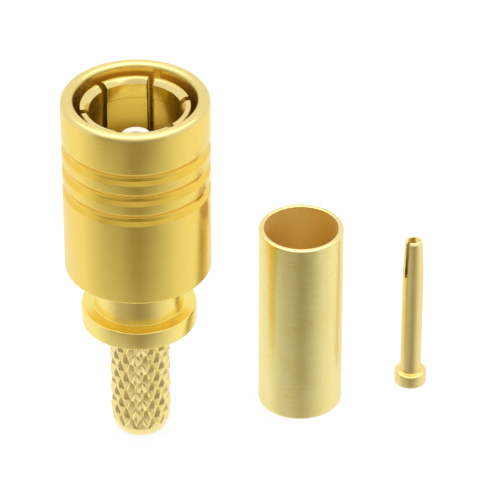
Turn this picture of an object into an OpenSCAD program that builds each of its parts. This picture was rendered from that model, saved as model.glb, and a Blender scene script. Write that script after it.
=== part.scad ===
// Push-on coaxial crimp plug for thin cable, shown as it is supplied:
// the plug body, its loose crimp ferrule and its loose centre contact, each standing on its cable end.
// Millimetres. The origin is the centre of the cable end of the plug's stem, and +Z runs up the plug.

/* [Knurled stem] */
// Length of the stem, from its cable end to the underside of the collar
stem_len = 5.66; // [5:0.02:7]
// Diameter across the points of the diamond knurl
knurl_d = 2.60; // [2.5:0.01:2.8]
// Depth of the knurl's grooves
knurl_depth = 0.13; // [0.06:0.01:0.16]
// Number of knurl points in one row round the stem
knurl_count = 14; // [10:1:18]
// Distance between two rows of points in one column
knurl_pitch = 0.98; // [0.8:0.01:1.2]
// Turn of the knurl round the stem, in degrees
knurl_turn = 4; // [0:1:25]
// Diameter of the plain stem next to the knurl
stem_d = 2.57; // [2.5:0.01:2.6]
// Plain length left between the knurl and the collar
stem_plain = 0.40; // [0.3:0.05:1.2]
// Length of the taper that leads the cable's braid on to the stem
tip_len = 0.62; // [0.4:0.02:0.9]
// Diameter of the stem's cable end
tip_d = 2.12; // [2:0.02:2.3]
// Bore for the cable's inner insulation, which also passes the contact's flange
cable_bore_d = 1.60; // [1.5:0.01:1.7]

/* [Collar and neck] */
// Diameter of the collar that the ferrule stops against
collar_d = 4.98; // [4.6:0.02:5.6]
// Thickness of the collar
collar_t = 0.88; // [0.6:0.02:1.2]
// Break on the collar's two edges
collar_break = 0.05; // [0.02:0.01:0.12]
// Wall of the neck round the insulator
neck_wall = 0.46; // [0.3:0.02:0.5]
// Length of neck seen between the collar and the shell
neck_len = 2.01; // [1.4:0.02:3]

/* [Outer shell] */
// Wall of the shell at the rim
shell_wall = 0.54; // [0.45:0.01:0.9]
// Length of the shell
shell_len = 8.37; // [8:0.02:9.4]
// Room between the fingers and the shell, in which the fingers spread
finger_room = 0.28; // [0.2:0.01:0.4]
// Thickness of the shell's floor, which is pressed on the neck
shell_floor = 1.00; // [0.7:0.05:1.4]
// Radius of the outer edge of the rim
rim_round = 0.20; // [0.05:0.01:0.24]
// Break on the inner edge of the rim
rim_break = 0.14; // [0.04:0.01:0.18]
// Break on the lower edge of the shell
shell_break = 0.08; // [0.03:0.01:0.15]
// Number of grip grooves
grip_count = 3; // [1:1:4]
// Distance between the middles of two grip grooves
grip_pitch = 1.01; // [0.8:0.01:1.2]
// Width of one grip groove at its mouth
grip_width = 0.60; // [0.4:0.02:0.7]
// Depth of one grip groove
grip_depth = 0.12; // [0.06:0.01:0.18]
// Distance from the rim to the middle of the first groove
grip_start = 2.09; // [1.6:0.01:2.6]

/* [Spring collet] */
// Depth of the finger tips below the rim
tip_recess = 0.36; // [0.2:0.02:0.8]
// Wall of the fingers
finger_wall = 0.34; // [0.28:0.01:0.4]
// Bore of the fingers, round the mating jack
socket_d = 3.98; // [3.94:0.01:4.04]
// Height of the latching bead inside each tip
bead_h = 0.05; // [0.02:0.01:0.1]
// Length of the latching bead
bead_len = 0.66; // [0.4:0.02:0.9]
// Flat width of each finger's tip
tip_flat = 0.20; // [0.1:0.01:0.22]
// Number of slots between the fingers
slot_count = 6; // [4:1:8]
// Width of one slot
slot_w = 0.30; // [0.2:0.01:0.4]
// Turn of the slots round the plug, in degrees
slot_turn = 13; // [0:1:59]
// Length of the slots from the tips
slot_len = 4.26; // [3.4:0.02:4.6]
// Thickness of the flange at the foot of the collet
collet_flange = 0.80; // [0.5:0.05:1.2]

/* [Insulator] */
// Diameter of the insulator's body
insulator_d = 2.90; // [2.6:0.02:3]
// Depth of the socket's floor below the rim
floor_depth = 4.92; // [4.7:0.02:5.4]
// Diameter of the boss round the contact
boss_d = 1.28; // [1.24:0.02:1.6]
// Depth of the boss's top below the rim
boss_depth = 1.84; // [1.6:0.02:2.4]
// Straight length of the boss, above its cone
boss_len = 0.18; // [0.1:0.01:0.4]
// Height of the cone between the boss and the shoulder
cone_len = 0.86; // [0.4:0.02:1.2]
// Diameter of the shoulder, which goes inside the mating jack's tube
shoulder_d = 2.76; // [2.2:0.02:2.84]
// Hole in the boss's top for the mating pin
pin_hole_d = 0.60; // [0.54:0.01:0.7]
// Thickness of the lip round the pin hole
pin_lip = 0.30; // [0.2:0.02:0.4]

/* [Crimp ferrule] */
// Room between the knurl's points and the ferrule, for the cable's braid
braid_room = 0.31; // [0.2:0.01:0.45]
// Wall of the ferrule
ferrule_wall = 0.235; // [0.15:0.005:0.35]
// Length of the ferrule
ferrule_len = 9.02; // [7:0.02:11]
// Radius of the ferrule's outer edges
ferrule_round = 0.09; // [0.03:0.01:0.14]

/* [Centre contact] */
// Length of the centre contact
contact_len = 7.60; // [7.2:0.02:8.2]
// Diameter of the contact
contact_d = 0.92; // [0.88:0.01:0.96]
// Diameter of the contact's squeezed tip
contact_tip_d = 0.77; // [0.72:0.01:0.86]
// Diameter of the contact's flange
contact_flange_d = 1.41; // [1.3:0.01:1.46]
// Thickness of the contact's flange
contact_flange = 0.62; // [0.4:0.02:0.8]
// Bore for the cable's inner wire
wire_bore_d = 0.56; // [0.5:0.01:0.62]
// Depth of the wire bore
wire_bore_len = 2.00; // [1.4:0.05:2.8]
// Bore of the contact's socket, below the squeezed tip
pin_bore_d = 0.56; // [0.5:0.01:0.62]
// Bore of the contact's socket at its squeezed tip
pin_tip_d = 0.45; // [0.4:0.01:0.52]
// Depth of the contact's socket
pin_bore_len = 2.60; // [2.2:0.05:3]
// Width of the slot between the contact's two tines
tine_slot_w = 0.16; // [0.1:0.01:0.24]
// Length of the slot between the tines
tine_slot_len = 1.80; // [1.4:0.05:2.2]
// Turn of the tines' slot, in degrees
tine_turn = 44; // [0:1:179]
// Break on the flange's upper edge
flange_break = 0.08; // [0.03:0.01:0.15]

/* [Fits and places] */
// Clearance on radius between pieces that are pressed together
seat_gap = 0.02; // [0.01:0.005:0.04]
// Clearance on radius between the contact and the insulator
contact_gap = 0.02; // [0.01:0.005:0.05]
// Free length between the seated contact's tip and the lip over it
contact_end_gap = 0.06; // [0.02:0.01:0.12]
// Space between the plug and the standing ferrule
ferrule_apart = 2.01; // [1:0.01:6]
// Distance of the ferrule behind the plug's axis
ferrule_back = 1.92; // [0:0.02:4]
// Space between the standing ferrule and the standing contact
contact_apart = 2.40; // [1:0.01:6]
// Distance of the contact behind the plug's axis
contact_back = 3.02; // [0:0.02:5]

/* [Hidden] */
$fn = 96;
// Steps in a quarter round edge
round_steps = 5;
// How far one solid runs into the next where they are one piece
sink = 0.02;
// How far a cut runs past the face that it opens
over = 0.5;

// Diameters, from the insulator outwards and from the mating jack outwards
neck_d = insulator_d + 2 * seat_gap + 2 * neck_wall;
finger_d = socket_d + 2 * finger_wall;
shell_bore_d = finger_d + 2 * finger_room;
shell_d = shell_bore_d + 2 * shell_wall;

// Heights along the plug
collar_z = stem_len;
neck_z = collar_z + collar_t;
shell_z = neck_z + neck_len;
rim_z = shell_z + shell_len;
seat_z = shell_z + shell_floor;
finger_z = rim_z - tip_recess;
floor_z = rim_z - floor_depth;
boss_z = rim_z - boss_depth;
cone_z = boss_z - boss_len;
shoulder_z = cone_z - cone_len;
insulator_z = boss_z - pin_lip - contact_end_gap - (contact_len - contact_flange);

// Places of the two loose pieces
ferrule_id = knurl_d + 2 * braid_room;
ferrule_od = ferrule_id + 2 * ferrule_wall;
ferrule_x = shell_d / 2 + ferrule_apart + ferrule_od / 2;
contact_x = ferrule_x + ferrule_od / 2 + contact_apart + contact_flange_d / 2;

// Rows of the knurl: the inner ones hold its points, and the two ends fade into the plain stem
knurl_z = tip_len;
knurl_end = stem_len - stem_plain;
row_step = knurl_pitch / 2;
row_count = floor((knurl_end - knurl_z) / row_step);
row_first = knurl_z + (knurl_end - knurl_z - (row_count - 1) * row_step) / 2;
knurl_rows = [knurl_z - sink, for (j = [0 : row_count - 1]) row_first + j * row_step, knurl_end + sink];
side_count = 2 * knurl_count;

gold = [0.86, 0.70, 0.34];
deep_gold = [0.84, 0.64, 0.26];
pale_gold = [0.85, 0.76, 0.46];
white = [0.96, 0.95, 0.92];

// Points of a quarter round from one angle to another, for a turned profile
function quarter(centre_r, centre_z, r, from, to) =
    [for (i = [0 : round_steps]) let (a = from + (to - from) * i / round_steps)
        [centre_r + r * cos(a), centre_z + r * sin(a)]];

// The four corners of one grip groove, from its lower edge to its upper edge
function grip(middle_z) =
    let (r = shell_d / 2, half = grip_width / 2)
    [[r, middle_z - half], [r - grip_depth, middle_z - half + grip_depth],
     [r - grip_depth, middle_z + half - grip_depth], [r, middle_z + half]];

// Radius of one knurl corner: points and groove crossings alternate round a row and from row to row
function knurl_r(i, j) =
    let (last = len(knurl_rows) - 1)
    (j == 0 || j == last) ? stem_d / 2 - sink : (i + j) % 2 == 0 ? knurl_d / 2 : knurl_d / 2 - knurl_depth;

function knurl_corner(i, j) =
    let (a = 270 + knurl_turn + i * 360 / side_count, r = knurl_r(i, j))
    [r * cos(a), r * sin(a), knurl_rows[j]];

// One four-sided patch of the knurl, folded along the groove that crosses it
function knurl_patch(i, j) =
    let (n = side_count, a = j * n + i, b = j * n + (i + 1) % n, c = b + n, d = a + n)
    (i + j) % 2 == 0 ? [[a, d, b], [b, d, c]] : [[a, c, b], [a, d, c]];

module knurl() {
    last = len(knurl_rows) - 1;
    corners = [for (j = [0 : last]) for (i = [0 : side_count - 1]) knurl_corner(i, j)];
    patches = [for (j = [0 : last - 1]) for (i = [0 : side_count - 1]) each knurl_patch(i, j)];
    lower_end = [for (i = [0 : side_count - 1]) i];
    upper_end = [for (i = [side_count - 1 : -1 : 0]) last * side_count + i];
    polyhedron(points = corners, faces = concat(patches, [lower_end], [upper_end]));
}

// Turned in one piece: tapered tip, knurled stem, collar, neck and the nose inside the collet
module rear_body() {
    collar_r = collar_d / 2;
    core_r = knurl_d / 2 - 2 * knurl_depth;
    color(pale_gold)
    difference() {
        union() {
            rotate_extrude()
                polygon(concat(
                    [[0, 0], [tip_d / 2, 0], [stem_d / 2, knurl_z], [core_r, knurl_z],
                     [core_r, knurl_end], [stem_d / 2, knurl_end], [stem_d / 2, collar_z]],
                    [[collar_r - collar_break, collar_z], [collar_r, collar_z + collar_break],
                     [collar_r, neck_z - collar_break], [collar_r - collar_break, neck_z]],
                    [[neck_d / 2, neck_z], [neck_d / 2, floor_z], [0, floor_z]]));
            knurl();
        }
        translate([0, 0, -over]) cylinder(d = cable_bore_d, h = floor_z + 2 * over);
        translate([0, 0, insulator_z]) cylinder(d = insulator_d + 2 * seat_gap, h = floor_z + over);
    }
}

// Turned cup with three grip grooves, pressed on the neck
module outer_shell() {
    r = shell_d / 2;
    bore_r = shell_bore_d / 2;
    hole_r = neck_d / 2 + seat_gap;
    lowest = rim_z - grip_start - (grip_count - 1) * grip_pitch;
    color(gold)
    rotate_extrude()
        polygon(concat(
            [[hole_r, shell_z], [r - shell_break, shell_z], [r, shell_z + shell_break]],
            [for (k = [0 : grip_count - 1]) each grip(lowest + k * grip_pitch)],
            quarter(r - rim_round, rim_z - rim_round, rim_round, 0, 90),
            [[bore_r + rim_break, rim_z], [bore_r, rim_z - rim_break], [bore_r, seat_z], [hole_r, seat_z]]));
}

// Thin springy tube, flanged at its foot and slotted into fingers
module spring_collet() {
    out_r = finger_d / 2;
    in_r = socket_d / 2;
    bead_r = in_r - bead_h;
    lead = out_r - tip_flat - bead_r;
    flange_r = shell_bore_d / 2 - seat_gap;
    base_r = neck_d / 2 + seat_gap;
    bead_z = finger_z - lead - bead_len;
    color(deep_gold)
    difference() {
        rotate_extrude()
            polygon([[base_r, seat_z], [flange_r, seat_z], [flange_r, seat_z + collet_flange],
                     [out_r, seat_z + collet_flange], [out_r, finger_z], [bead_r + lead, finger_z],
                     [bead_r, finger_z - lead], [bead_r, bead_z], [in_r, bead_z - bead_h],
                     [in_r, floor_z], [base_r, floor_z]]);
        for (k = [0 : slot_count - 1])
            rotate([0, 0, slot_turn + k * 360 / slot_count])
                translate([0, -slot_w / 2, finger_z - slot_len])
                    cube([shell_bore_d, slot_w, slot_len + over]);
    }
}

// White plastic insulator with a conical nose and a slim boss round the contact
module insulator() {
    contact_hole_r = contact_d / 2 + contact_gap;
    color(white)
    rotate_extrude()
        polygon([[contact_hole_r, insulator_z], [insulator_d / 2, insulator_z], [insulator_d / 2, floor_z],
                 [shoulder_d / 2, floor_z], [shoulder_d / 2, shoulder_z], [boss_d / 2, cone_z],
                 [boss_d / 2, boss_z], [pin_hole_d / 2, boss_z], [pin_hole_d / 2, boss_z - pin_lip],
                 [contact_hole_r, boss_z - pin_lip]]);
}

// Plain soft tube that is squeezed over the braid and the knurled stem
module crimp_ferrule() {
    out_r = ferrule_od / 2;
    edge = out_r - ferrule_round;
    color(pale_gold)
    translate([ferrule_x, ferrule_back, 0])
        rotate_extrude()
            polygon(concat(
                [[ferrule_id / 2, 0]],
                quarter(edge, ferrule_round, ferrule_round, -90, 0),
                quarter(edge, ferrule_len - ferrule_round, ferrule_round, 0, 90),
                [[ferrule_id / 2, ferrule_len]]));
}

// Turned contact: wire end and flange below, two squeezed tines above
module centre_contact() {
    r = contact_d / 2;
    flange_r = contact_flange_d / 2;
    tine_z = contact_len - tine_slot_len;
    lip = (contact_tip_d - pin_tip_d) / 4;
    color(pale_gold)
    translate([contact_x, contact_back, 0])
        difference() {
            rotate_extrude()
                polygon([[0, 0], [flange_r - flange_break, 0], [flange_r, flange_break],
                         [flange_r, contact_flange - flange_break], [flange_r - flange_break, contact_flange],
                         [r, contact_flange], [r, tine_z], [contact_tip_d / 2, contact_len - lip],
                         [contact_tip_d / 2 - lip, contact_len], [0, contact_len]]);
            translate([0, 0, -over]) cylinder(d = wire_bore_d, h = wire_bore_len + over);
            rotate_extrude()
                polygon([[0, contact_len - pin_bore_len], [pin_bore_d / 2, contact_len - pin_bore_len],
                         [pin_bore_d / 2, tine_z], [pin_tip_d / 2, contact_len],
                         [pin_tip_d / 2, contact_len + over], [0, contact_len + over]]);
            rotate([0, 0, tine_turn])
                translate([-contact_d, -tine_slot_w / 2, tine_z])
                    cube([2 * contact_d, tine_slot_w, tine_slot_len + over]);
        }
}

rear_body();
outer_shell();
spring_collet();
insulator();
crimp_ferrule();
centre_contact();
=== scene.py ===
import math

import bmesh
import bpy
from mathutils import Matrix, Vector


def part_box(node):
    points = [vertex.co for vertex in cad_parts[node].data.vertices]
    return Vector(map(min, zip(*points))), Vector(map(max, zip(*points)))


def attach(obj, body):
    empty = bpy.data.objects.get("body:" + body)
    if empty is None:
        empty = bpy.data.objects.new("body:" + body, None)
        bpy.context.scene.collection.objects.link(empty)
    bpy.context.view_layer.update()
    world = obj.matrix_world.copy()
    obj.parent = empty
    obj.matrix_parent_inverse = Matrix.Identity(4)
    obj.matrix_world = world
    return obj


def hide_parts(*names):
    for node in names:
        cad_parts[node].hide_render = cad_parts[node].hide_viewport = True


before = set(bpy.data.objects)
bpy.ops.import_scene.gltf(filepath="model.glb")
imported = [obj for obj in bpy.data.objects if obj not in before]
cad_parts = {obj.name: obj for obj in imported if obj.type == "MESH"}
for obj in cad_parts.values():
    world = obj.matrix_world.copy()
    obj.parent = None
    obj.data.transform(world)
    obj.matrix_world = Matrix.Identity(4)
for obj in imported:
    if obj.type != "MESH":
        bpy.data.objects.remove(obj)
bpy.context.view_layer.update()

# Camera: a long lens in front of the three standing items, looking down on them. Its place, tilt
# and focal length are those at which the outlines fall where the photo has them.
looks_down = math.radians(34.8635)
bpy.ops.object.select_all(action="DESELECT")
bpy.ops.object.camera_add(
    location=(0.004791, -0.139494, 0.106356),
    rotation=(math.pi / 2 - looks_down, 0, 0),
)
viewer = bpy.context.object
viewer.name = "viewer"
viewer.data.sensor_fit = "HORIZONTAL"
viewer.data.sensor_width = 36
viewer.data.lens = 285.93
viewer.data.clip_start = 0.005
viewer.data.clip_end = 10
bpy.context.scene.camera = viewer
bpy.context.scene.view_settings.view_transform = "Standard"

# Studio: a tent of white cloth round the table, with its doorway towards the viewer. The bright
# metal mirrors it, so its levels are what draws the light and dark bands on the turned pieces.


class Signal:
    """An output socket that takes part in plain arithmetic."""

    def __init__(self, recipe, socket):
        self.recipe = recipe
        self.socket = socket

    def maths(self, operation, *values):
        return self.recipe.add("Math", {"operation": operation}, values)

    def __add__(self, other):
        return self.maths("ADD", self, other)

    __radd__ = __add__

    def __sub__(self, other):
        return self.maths("SUBTRACT", self, other)

    def __rsub__(self, other):
        return self.maths("SUBTRACT", other, self)

    def __mul__(self, other):
        return self.maths("MULTIPLY", self, other)

    __rmul__ = __mul__

    def __truediv__(self, other):
        return self.maths("DIVIDE", self, other)

    def __rtruediv__(self, other):
        return self.maths("DIVIDE", other, self)

    def __neg__(self):
        return self.maths("MULTIPLY", self, -1)


class Recipe:
    """The node tree of one finish, of the table or of the studio round it."""

    def __init__(self, owner):
        owner.use_nodes = True
        self.tree = owner.node_tree
        self.tree.nodes.clear()

    def add(self, kind, settings=None, sockets=None, output=0):
        """Add a node, set it up, fill or link its input sockets and return one of its outputs."""
        node = self.tree.nodes.new("ShaderNode" + kind)
        for setting, value in (settings or {}).items():
            if setting == "stops":
                self.set_stops(node.color_ramp, value)
            else:
                setattr(node, setting, value)
        pairs = sockets.items() if isinstance(sockets, dict) else enumerate(sockets or ())
        for name, value in pairs:
            if isinstance(value, Signal):
                self.tree.links.new(value.socket, node.inputs[name])
            else:
                node.inputs[name].default_value = value
        return Signal(self, node.outputs[output]) if len(node.outputs) else node

    def set_stops(self, ramp, stops):
        """Give a ramp its stops, each a place and either a colour or one grey level."""
        while len(ramp.elements) < len(stops):
            ramp.elements.new(0.5)
        for element, (place, colour) in zip(ramp.elements, stops):
            red, green, blue = colour if isinstance(colour, tuple) else (colour,) * 3
            element.position = place
            element.color = (red, green, blue, 1)

    def mix(self, share, first, second):
        """The first colour where the share is 0, and the second where it is 1."""
        sockets = {0: share}
        for socket, colour in ((6, first), (7, second)):
            sockets[socket] = (*colour, 1) if isinstance(colour, tuple) else colour
        return self.add("Mix", {"data_type": "RGBA"}, sockets, output=2)


# Brightness of the tent by direction round the table, in turns from the back over the left side.
wall_levels = [
    (0.000, 1.00),
    (0.235, 0.99),
    (0.300, 0.76),
    (0.370, 0.60),
    (0.430, (0.50, 0.48, 0.44)),
    (0.490, (0.30, 0.26, 0.20)),
    (0.520, (0.30, 0.26, 0.20)),
    (0.600, 0.56),
    (0.690, 0.88),
    (0.760, 1.00),
    (1.000, 1.00),
]
# The same for directions that run level or upwards: the doorway is wider and clearer there.
door_levels = [
    (0.000, 1.00),
    (0.280, 0.95),
    (0.315, 0.80),
    (0.360, (0.32, 0.28, 0.22)),
    (0.575, (0.32, 0.28, 0.22)),
    (0.640, 0.75),
    (0.750, 1.00),
]
# How far the pale roof covers the walls, by the height that a direction climbs to.
roof_levels = [
    (0.05, 0.00),
    (0.45, 0.85),
    (0.62, 0.85),
    (0.78, 0.50),
    (1.00, 0.60),
]
studio = bpy.data.worlds.new("studio")
bpy.context.scene.world = studio
tent = Recipe(studio)
across = tent.add("SeparateXYZ", sockets=[tent.add("TexCoord")])
ahead = Signal(tent, across.socket.node.outputs[1])
height = Signal(tent, across.socket.node.outputs[2])
turn_share = across.maths("ARCTAN2", across, -ahead) / (2 * math.pi) + 0.5
wall_light = tent.add("ValToRGB", {"stops": wall_levels}, [turn_share])
door_light = tent.add("ValToRGB", {"stops": door_levels}, [turn_share])
roof_share = tent.add("ValToRGB", {"stops": roof_levels}, [height])

# A flat look meets the doorway, and a steep look down meets the white table.
smooth = {"interpolation_type": "SMOOTHSTEP"}
flat_look = tent.add("MapRange", smooth, [height, -0.48, -0.25, 0.0, 1.0])
steep_look = tent.add("MapRange", smooth, [height, -0.70, -0.92, 0.0, 1.0])
tent_light = tent.mix(flat_look, wall_light, door_light)
tent_light = tent.mix(steep_look, tent_light, (1.0, 1.0, 1.0))
tent_light = tent.mix(roof_share, tent_light, (0.95, 0.95, 0.95))

# Only the metal sees the tent. The view past the table, and the light on card and plastic, are plain.
in_metal = tent.add("LightPath", output=3)
seen = tent.mix(in_metal, (0.85, 0.85, 0.85), tent_light)
tent.add("OutputWorld", sockets=[tent.add("Background", sockets=[seen, 1.0])])

# Table: a round sheet of white card under the items. Its white is mostly its own glow, so that it
# takes no more light on the metal, and the metal mirrors the studio's white below instead of it.
bpy.ops.mesh.primitive_circle_add(vertices=64, radius=0.6, fill_type="NGON", location=(0.005, 0.1, 0))
bpy.ops.object.transform_apply(location=True)
table = bpy.context.object
table.name = "table_top"
table.visible_glossy = False
white_card = bpy.data.materials.new("white_card")
card = Recipe(white_card)
grain = card.add("TexNoise", sockets={"Vector": card.add("TexCoord", output=3), "Scale": 900.0})
matt = card.add("BsdfDiffuse", sockets={"Color": card.mix(grain, (0.24, 0.24, 0.24), (0.26, 0.26, 0.26))})
glow = card.add("Emission", sockets=[(1, 1, 1, 1), 0.78])
card.add("OutputMaterial", sockets=[card.add("AddShader", sockets=[matt, glow])])
table.data.materials.append(white_card)

# Lamp: one large softbox above the table and a little behind it, turned towards the plug's foot.
# It gives the soft shine on the edges and the faint shadows on the card.
bpy.ops.object.light_add(type="AREA", location=(0.005, 0.04, 0.30))
softbox = bpy.context.object
softbox.name = "top_softbox"
softbox.data.size = 0.34
softbox.data.energy = 0.62
softbox.rotation_euler = (-softbox.location).to_track_quat("-Z", "Y").to_euler()

# Outer shell: a cup turned from brass bar, with a rounded rim and three grip grooves. It is
# plated with gold and pressed on the neck of the rear body.
mm = 0.001
weld = 0.0005  # points nearer than this, in millimetres, are one


def measure(node):
    """How far a solid reaches to the right, its foot and its top, in millimetres."""
    low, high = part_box(node)
    return [round(size / mm, 3) for size in (high.x, low.z, high.z)]


def pick_corners(piece, wanted):
    """Select the corners whose place passes the test, in edit mode."""
    bpy.ops.mesh.select_all(action="DESELECT")
    shape = bmesh.from_edit_mesh(piece.data)
    for corner in shape.verts:
        corner.select_set(wanted(corner.co))
    shape.select_flush_mode()
    bmesh.update_edit_mesh(piece.data)


def turn(name, section, steps=256):
    """Draw a closed section of (radius, height, corner radius) in millimetres and spin it about Z."""
    bpy.ops.object.select_all(action="DESELECT")
    bpy.ops.mesh.primitive_plane_add(size=0.1)
    piece = bpy.context.object
    piece.name = name
    piece.data.name = name
    bpy.ops.object.mode_set(mode="EDIT")
    bpy.ops.mesh.select_all(action="SELECT")
    bpy.ops.mesh.merge(type="CENTER")
    bpy.ops.transform.translate(value=(section[0][0], 0, section[0][1]))
    for here, there in zip(section, section[1:] + section[:1]):
        step = (there[0] - here[0], 0, there[1] - here[1])
        bpy.ops.mesh.extrude_vertices_move(TRANSFORM_OT_translate={"value": step})
    bpy.ops.mesh.select_all(action="SELECT")
    bpy.ops.mesh.remove_doubles(threshold=weld)
    neighbours = zip(section[-1:] + section, section, section[1:] + section[:1])
    for before, (radius, level, corner), after in neighbours:
        if not corner:
            continue
        pick_corners(piece, lambda place: math.dist((place.x, place.z), (radius, level)) < weld)
        way_in = math.atan2(level - before[1], radius - before[0])
        way_out = math.atan2(after[1] - level, after[0] - radius)
        bend = abs((way_out - way_in + math.pi) % (2 * math.pi) - math.pi)
        bpy.ops.mesh.bevel(affect="VERTICES", offset=corner * math.tan(bend / 2), segments=4, profile=0.5)
    bpy.ops.mesh.select_all(action="SELECT")
    bpy.ops.mesh.spin(steps=steps, angle=2 * math.pi, center=(0, 0, 0), axis=(0, 0, 1), use_auto_merge=True)
    bpy.ops.mesh.select_all(action="SELECT")
    bpy.ops.mesh.remove_doubles(threshold=weld)
    bpy.ops.mesh.normals_make_consistent(inside=False)
    bpy.ops.object.mode_set(mode="OBJECT")
    return piece


def set_down(piece, material, node, place=(0, 0)):
    """Move a finished piece to its place, bring it from millimetres to metres and hang it on the part."""
    bpy.ops.object.select_all(action="DESELECT")
    piece.select_set(True)
    bpy.context.view_layer.objects.active = piece
    bpy.ops.transform.translate(value=(*place, 0))
    bpy.ops.object.transform_apply(location=True)
    bpy.ops.transform.resize(value=(mm, mm, mm), center_override=(0, 0, 0))
    bpy.ops.object.transform_apply(scale=True)
    bpy.ops.object.shade_smooth_by_angle(angle=math.radians(24))
    piece.data.materials.append(material)
    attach(piece, "root")
    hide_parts(node)


def turned_gold(name, colour, shade, blur, rings, depth, blotches, end, streaks=250):
    """Gold plate over turned brass, with feed marks round the axis and blotches where it is thin.

    The marks are depth deep, in metres, and change as often in a metre as rings says along the
    axis, and streaks across it. blur is the plate's roughness. Above the end's height, which is in
    millimetres, the plate has the end's own colour and blur.
    """
    end_height, end_colour, end_blur = end
    end_from = (end_height - 0.05) * mm
    end_to = (end_height + 0.05) * mm
    mark_blur = 0.12
    cloud_blur = 0.08
    material = bpy.data.materials.new(name)
    plate = Recipe(material)
    place = plate.add("TexCoord", output=3)
    stretched = plate.add("VectorMath", {"operation": "MULTIPLY"}, [place, (streaks, streaks, rings)])
    feed = plate.add("TexNoise", sockets={
        "Vector": stretched, "Scale": 1.0, "Detail": 4.0, "Roughness": 0.6})
    cloud = plate.add("TexNoise", sockets={"Vector": place, "Scale": 900.0, "Detail": 3.0})
    tint = plate.mix(feed * (1 - blotches) + cloud * blotches, shade, colour)
    level = plate.add("SeparateXYZ", sockets=[place], output=2)
    at_end = plate.add("MapRange", sockets=[level, end_from, end_to, 0.0, 1.0])
    even_blur = at_end * (end_blur - blur) + blur
    surface = plate.add("BsdfPrincipled", sockets={
        "Base Color": plate.mix(at_end, tint, end_colour),
        "Metallic": 1.0,
        "Roughness": even_blur + (feed - 0.5) * mark_blur + (cloud - 0.5) * cloud_blur,
        "Anisotropic": 0.7,
        "Anisotropic Rotation": 0.25,
        "Normal": plate.add("Bump", sockets={"Strength": 1.0, "Distance": depth, "Height": feed}),
    })
    plate.add("OutputMaterial", sockets=[surface])
    return material


def refinish(piece, material, wanted, place=(0, 0)):
    """Give another finish where a face's distance from the piece's axis and its height pass the test."""
    piece.data.materials.append(material)
    for face in piece.data.polygons:
        if wanted(math.dist(face.center.xy / mm, place), face.center.z / mm):
            face.material_index = 1


shell_r, shell_foot, rim = measure("outer_shell")
shell_bore = 2.61  # room in which the fingers spread
shell_floor = 9.55
neck_hole = 1.95
grooves = [12.81, 13.82, 14.83]  # heights of their middles
groove_deep = 0.12
groove_half = 0.30  # half its width at the shell's surface
groove_flat = 0.08  # half its width at the bottom
shell_section = [(neck_hole, shell_foot, 0.03), (shell_r, shell_foot, 0.10)]
for groove in grooves:
    shell_section += [
        (shell_r, groove - groove_half, 0.04),
        (shell_r - groove_deep, groove - groove_flat, 0.12),
        (shell_r - groove_deep, groove + groove_flat, 0.12),
        (shell_r, groove + groove_half, 0.04),
    ]
shell_section += [
    (shell_r, rim, 0.20),
    (shell_bore, rim, 0.15),
    (shell_bore, shell_floor, 0.03),
    (neck_hole, shell_floor, 0.03),
]
# The top of the rim gets a less saturated, slightly darker plate: painted sheen, for the pale, matte shine
# that the light gives its flat top.
rim_painted_sheen = (rim - 0.18, (0.84, 0.68, 0.26), 0.26)
satin_gold = turned_gold(
    "satin_gold", colour=(0.98, 0.75, 0.19), shade=(0.91, 0.65, 0.12),
    blur=0.26, rings=22000, depth=6e-7, blotches=0.35, end=rim_painted_sheen)
shell_cup = turn("shell_cup", shell_section)
set_down(shell_cup, satin_gold, "outer_shell")

# The grooves get a darker, more saturated plate: painted shade in their hollows.
groove_painted_shade = turned_gold(
    "groove_painted_shade", colour=(0.98, 0.69, 0.11), shade=(0.84, 0.55, 0.07),
    blur=0.22, rings=22000, depth=6e-7, blotches=0.5, end=rim_painted_sheen)


def in_groove(reach, level):
    """Just below the shell's outer surface, away from its bore, its rounded foot and its rim."""
    under_surface = shell_bore + 0.1 < reach < shell_r - 0.01
    return under_surface and grooves[0] - 0.4 < level < grooves[-1] + 0.4


# Painted shade: the faces inside the grooves take the darker plate.
refinish(shell_cup, groove_painted_shade, in_groove)

# Spring collet: a thin tube of springy alloy behind the rim, bored, beaded inside its mouth and
# sawn into six fingers. Its foot sits on the shell's floor, round the nose of the rear body.


def cut(piece, cutter):
    """Take the cutter's shape out of the piece."""
    bpy.ops.object.select_all(action="DESELECT")
    piece.select_set(True)
    bpy.context.view_layer.objects.active = piece
    saw = piece.modifiers.new("saw", "BOOLEAN")
    saw.operation = "DIFFERENCE"
    saw.solver = "EXACT"
    saw.object = cutter
    bpy.ops.object.modifier_apply(modifier="saw")
    bpy.data.objects.remove(cutter)


def soften(piece, width):
    """Break the sharp edges that the saw left."""
    edge = piece.modifiers.new("edge", "BEVEL")
    edge.width = width
    edge.segments = 2
    edge.limit_method = "ANGLE"
    edge.angle_limit = math.radians(50)
    bpy.ops.object.modifier_apply(modifier="edge")


def saw_blades(count, turned_by, width, near, far, low, high):
    """Blades of a slitting saw, standing like spokes round the axis."""
    bpy.ops.object.select_all(action="DESELECT")
    blades = []
    for blade in range(count):
        angle = math.radians(turned_by + blade * 360 / count)
        middle = (near + far) / 2
        bpy.ops.mesh.primitive_cube_add(
            size=1,
            location=(middle * math.cos(angle), middle * math.sin(angle), (low + high) / 2),
            rotation=(0, 0, angle),
            scale=(far - near, width, high - low),
        )
        blades.append(bpy.context.object)
    for blade in blades:
        blade.select_set(True)
    bpy.ops.object.join()
    bpy.ops.object.transform_apply(location=True, rotation=True, scale=True)
    return bpy.context.object


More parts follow.
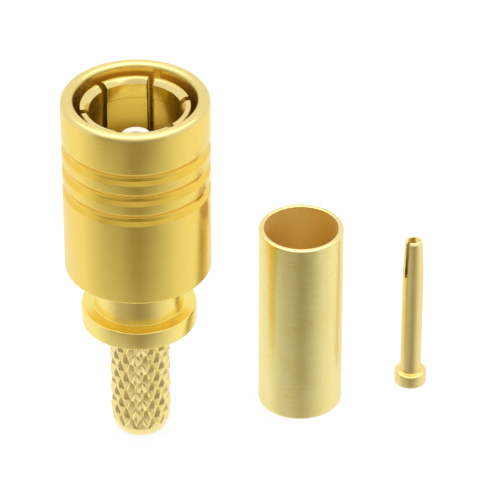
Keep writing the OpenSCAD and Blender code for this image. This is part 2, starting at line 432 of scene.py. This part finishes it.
collet_foot_r, collet_foot, finger_tip = measure("spring_collet")
collet_foot_top = 10.35
collar_r, stem_foot, nose_top = measure("rear_body")
finger_out = 2.33
finger_in = 1.99
tip_bevel = 0.20  # across, and a little less down
bead_in = 1.94
bead_foot = 15.71
bead_ramp = 0.05
fingers = turn("collet_fingers", [
    (neck_hole, collet_foot, 0.02),
    (collet_foot_r, collet_foot, 0.02),
    (collet_foot_r, collet_foot_top, 0.03),
    (finger_out, collet_foot_top, 0.05),
    (finger_out, finger_tip, 0.04),
    (finger_out - tip_bevel, finger_tip, 0.03),
    (bead_in, finger_tip - 0.95 * tip_bevel, 0.04),
    (bead_in, bead_foot, 0.04),
    (finger_in, bead_foot - bead_ramp, 0.03),
    (finger_in, nose_top, 0.02),
    (neck_hole, nose_top, 0.02),
])
cut(fingers, saw_blades(count=6, turned_by=13, width=0.30, near=1.5, far=3.2, low=12.30, high=17.5))
soften(fingers, width=0.025)
# The finger tips and their chamfer get a less saturated, darker and smoother plate: painted sheen, for the
# pale, matte shine that the light gives the tips.
spring_gold = turned_gold(
    "spring_gold", colour=(1.00, 0.80, 0.18), shade=(0.98, 0.75, 0.14),
    blur=0.24, rings=18000, depth=4e-7, blotches=0.6, end=(finger_tip - 0.22, (0.86, 0.70, 0.28), 0.18))
set_down(fingers, spring_gold, "spring_collet")

# Rear body: turned from one bar, with the neck, the collar that stops the ferrule, and the stem
# with its rolled diamond knurl that bites into the cable's braid.
cable_bore = 0.80
end_r = 1.06  # the cable end, which the braid slides over, is rounded off in two steps
shoulder_r, shoulder = 1.24, 0.40
stem_r, full_width = 1.30, 0.95
relief_r = 1.285  # the plain stretch between the knurl and the collar
relief_foot = 5.30
collar_foot = 5.66
collar_top = 6.54
neck_r = 1.93
insulator_bore = 1.47
insulator_r, insulator_foot, boss_top = measure("insulator")
stem = turn("stem_and_collar", [
    (cable_bore, stem_foot, 0.03),
    (end_r, stem_foot, 0.10),
    (shoulder_r, shoulder, 0.60),
    (stem_r, full_width, 1.20),
    (stem_r, relief_foot - 0.10, 0.10),
    (relief_r, relief_foot, 0.10),
    (relief_r, collar_foot, 0.05),
    (collar_r, collar_foot, 0.07),
    (collar_r, collar_top, 0.07),
    (neck_r, collar_top, 0.06),
    (neck_r, nose_top, 0.03),
    (insulator_bore, nose_top, 0.02),
    (insulator_bore, insulator_foot, 0.02),
    (cable_bore, insulator_foot, 0.02),
], steps=252)

# The rolling tool: its inside is the negative of the knurl, and it fades out at both ends.
knurl_points = 14  # in each row
knurl_pitch = 0.49  # from one row to the next
knurl_crest = 1.37
knurl_valley = 1.17
knurl_lean = 0.12  # how far the points lean upwards
knurl_turn = 4  # degrees
knurl_fading = 1.22  # valley of the first row that has one
tool_wall = 1.25  # the tool's outside, in radii of its inside
inside_tool = 1.5  # corners nearer to the axis than this are on the tool's inside
front = 270  # degrees round the axis, where a point of each even row stands before the turn
near = 0.005  # millimetres that a corner may be off its row or radius
knurl_rows = [knurl_pitch * (row - 1) for row in range(13)]
tool_foot, tool_top = knurl_rows[0], knurl_rows[-1]
bpy.ops.object.select_all(action="DESELECT")
bpy.ops.mesh.primitive_circle_add(
    vertices=2 * knurl_points, radius=knurl_crest, location=(0, 0, tool_foot),
    rotation=(0, 0, math.radians(knurl_turn)))
bpy.ops.object.transform_apply(location=True, rotation=True)
roller = bpy.context.object
bpy.ops.object.mode_set(mode="EDIT")
bpy.ops.mesh.select_all(action="SELECT")
for low, high in zip(knurl_rows, knurl_rows[1:]):
    bpy.ops.mesh.extrude_region_move(TRANSFORM_OT_translate={"value": (0, 0, high - low)})
bpy.ops.mesh.extrude_region_move()
bpy.ops.transform.resize(value=(tool_wall, tool_wall, 1), center_override=(0, 0, 0))
bpy.ops.mesh.extrude_region_move(TRANSFORM_OT_translate={"value": (0, 0, tool_foot - tool_top)})
bpy.ops.mesh.extrude_region_move()
bpy.ops.transform.resize(value=(1 / tool_wall, 1 / tool_wall, 1), center_override=(0, 0, 0))
bpy.ops.mesh.select_all(action="SELECT")
bpy.ops.mesh.remove_doubles(threshold=weld)


def off_axis(place):
    """Distance of a corner from the stem's axis."""
    return math.hypot(place.x, place.y)


def move_crossings(row, factor):
    """Scale one row's groove crossings, which lie between its points, nearer to the axis or farther off."""

    def is_crossing(place):
        if abs(place.z - knurl_rows[row]) > near or off_axis(place) > inside_tool:
            return False
        turned = math.degrees(math.atan2(place.y, place.x)) - front - knurl_turn
        step = round(turned * knurl_points / 180)
        return (step + row) % 2 == 1

    pick_corners(roller, is_crossing)
    bpy.ops.transform.resize(value=(factor, factor, 1), center_override=(0, 0, 0))


for row in range(len(knurl_rows)):
    move_crossings(row, knurl_valley / knurl_crest)
bpy.ops.mesh.select_all(action="SELECT")
bpy.ops.mesh.quads_convert_to_tris(quad_method="SHORTEST_DIAGONAL")
end_rows = {0: knurl_crest, 1: knurl_crest, 2: knurl_fading, len(knurl_rows) - 1: knurl_crest}
for row, radius in end_rows.items():
    move_crossings(row, radius / knurl_valley)


# The points lean upwards, long flank below and steep flank above, and the plating rounds their ridges.
def is_point(place):
    """A point of the knurl, in any row but the first and the last."""
    return tool_foot + near < place.z < tool_top - near and abs(off_axis(place) - knurl_crest) < near


pick_corners(roller, is_point)
bpy.ops.transform.translate(value=(0, 0, knurl_lean))
bpy.ops.mesh.select_all(action="DESELECT")
knurl = bmesh.from_edit_mesh(roller.data)
for ridge in knurl.edges:
    inner, outer = sorted(off_axis(corner.co) for corner in ridge.verts)
    ridge.select_set(inner < knurl_crest - 0.04 and abs(outer - knurl_crest) < near)
bmesh.update_edit_mesh(roller.data)
bpy.ops.mesh.bevel(affect="EDGES", offset=0.05, segments=2)
bpy.ops.mesh.select_all(action="SELECT")
bpy.ops.mesh.normals_make_consistent(inside=False)
bpy.ops.object.mode_set(mode="OBJECT")
cut(stem, roller)
bright_gold = turned_gold(
    "bright_gold", colour=(1.00, 0.86, 0.37), shade=(0.98, 0.80, 0.31),
    blur=0.25, rings=16000, depth=5e-7, blotches=0.6, end=(collar_foot - 0.06, (1.00, 0.81, 0.25), 0.26))
set_down(stem, bright_gold, "rear_body")

# Insulator: white low-friction plastic, turned. Its slim boss stands in the middle of the socket
# and has a hole for the jack's pin. Its body carries the contact inside the rear body.
white_plastic = bpy.data.materials.new("white_plastic")
plastic = Recipe(white_plastic)
spot = plastic.add("TexCoord", output=3)
haze = plastic.add("TexNoise", sockets={"Vector": spot, "Scale": 1500.0, "Detail": 3.0})
drawn_out = plastic.add("VectorMath", {"operation": "MULTIPLY"}, [spot, (300, 300, 15000)])
tool_marks = plastic.add("TexNoise", sockets={"Vector": drawn_out, "Scale": 1.0, "Detail": 2.0})
plastic.add("OutputMaterial", sockets=[plastic.add("BsdfPrincipled", sockets={
    "Base Color": plastic.mix(haze, (0.91, 0.88, 0.81), (0.95, 0.93, 0.88)),
    "Roughness": 0.42 + haze * 0.12,
    "Subsurface Weight": 0.8,
    "Subsurface Radius": (1.0, 0.9, 0.75),
    "Subsurface Scale": 0.0006,
    "Normal": plastic.add("Bump", sockets={"Strength": 1.0, "Distance": 6e-7, "Height": tool_marks}),
})])
contact_seat, seat_top = 0.48, 14.78
cone_r, cone_foot = 1.38, 14.04
boss_r, boss_foot = 0.64, 14.90
pin_hole = 0.30
boss = turn("white_boss", [
    (contact_seat, insulator_foot, 0.03),
    (insulator_r, insulator_foot, 0.05),
    (insulator_r, nose_top, 0.05),
    (cone_r, nose_top, 0.05),
    (cone_r, cone_foot, 0.08),
    (boss_r, boss_foot, 0.15),
    (boss_r, boss_top, 0.06),
    (pin_hole, boss_top, 0.04),
    (pin_hole, seat_top, 0.03),
    (contact_seat, seat_top, 0.02),
], steps=128)
set_down(boss, white_plastic, "insulator")

# Crimp ferrule: a plain soft tube, drawn and parted off, with fine brush lines round it.
# It stands by itself until it is squeezed over the braid on the stem.


def find_axis(node, radius):
    """Where a loose piece stands: its radius in from its right side, and midway from front to back."""
    low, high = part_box(node)
    middle = round((low.y + high.y) / 2 / mm, 3)
    return measure(node)[0] - radius, middle


tube_foot, tube_top = measure("crimp_ferrule")[1:]
tube_r = 1.845
tube_bore = 1.61
tube_axis = find_axis("crimp_ferrule", tube_r)
parted_end = (tube_top - 0.07, (0.92, 0.76, 0.34), 0.26)
brushed_gold = turned_gold(
    "brushed_gold", colour=(1.00, 1.00, 0.56), shade=(0.88, 0.62, 0.10),
    blur=0.32, rings=16000, depth=3.0e-6, blotches=0.35, end=parted_end, streaks=2600)
tube = turn("ferrule_tube", [
    (tube_bore, tube_foot, 0.04),
    (tube_r, tube_foot, 0.09),
    (tube_r, tube_top, 0.09),
    (tube_bore, tube_top, 0.04),
])
set_down(tube, brushed_gold, "crimp_ferrule", place=tube_axis)

# The brush doesn't reach into the bore, which keeps the duller and deeper plate of the drawn tube.
drawn_bore = turned_gold(
    "drawn_bore", colour=(0.93, 0.70, 0.22), shade=(0.91, 0.64, 0.17),
    blur=0.55, rings=9000, depth=6e-7, blotches=0.7, end=parted_end)
refinish(tube, drawn_bore, lambda reach, level: reach < tube_bore + 0.01, place=tube_axis)

# Centre contact: a turned pin socket with a flange at its wire end. Its mouth is slotted and
# the two tines are squeezed together so that they grip the jack's pin.
contact_foot, mouth = measure("centre_contact")[1:]
flange_r, flange_top = 0.705, 0.62
contact_r = 0.46
contact_bore = 0.28
tine_foot = 5.80
squeezed_r, mouth_r, mouth_bore = 0.385, 0.305, 0.225
mouth_bevel = 0.08
pin_bore_foot = 5.00
wire_bore_top = 2.00
core = 0.02  # between the two bores the contact is solid, but for this hair's breadth
tines = turn("pin_socket", [
    (contact_bore, contact_foot, 0.02),
    (flange_r, contact_foot, 0.06),
    (flange_r, flange_top, 0.08),
    (contact_r, flange_top, 0.05),
    (contact_r, tine_foot, 0.30),
    (squeezed_r, mouth - mouth_bevel, 0.05),
    (mouth_r, mouth, 0.03),
    (mouth_bore, mouth, 0.02),
    (contact_bore, tine_foot, 0.10),
    (contact_bore, pin_bore_foot, 0.02),
    (core, pin_bore_foot, 0.00),
    (core, wire_bore_top, 0.00),
    (contact_bore, wire_bore_top, 0.02),
], steps=128)
cut(tines, saw_blades(count=2, turned_by=44, width=0.16, near=0.0, far=0.9, low=tine_foot, high=8.2))
soften(tines, width=0.012)
contact_gold = turned_gold(
    "contact_gold", colour=(0.95, 0.79, 0.35), shade=(0.89, 0.71, 0.27),
    blur=0.34, rings=20000, depth=5e-7, blotches=0.5, end=(mouth - 0.15, (0.95, 0.79, 0.35), 0.26))
contact_axis = find_axis("centre_contact", flange_r)
set_down(tines, contact_gold, "centre_contact", place=contact_axis)
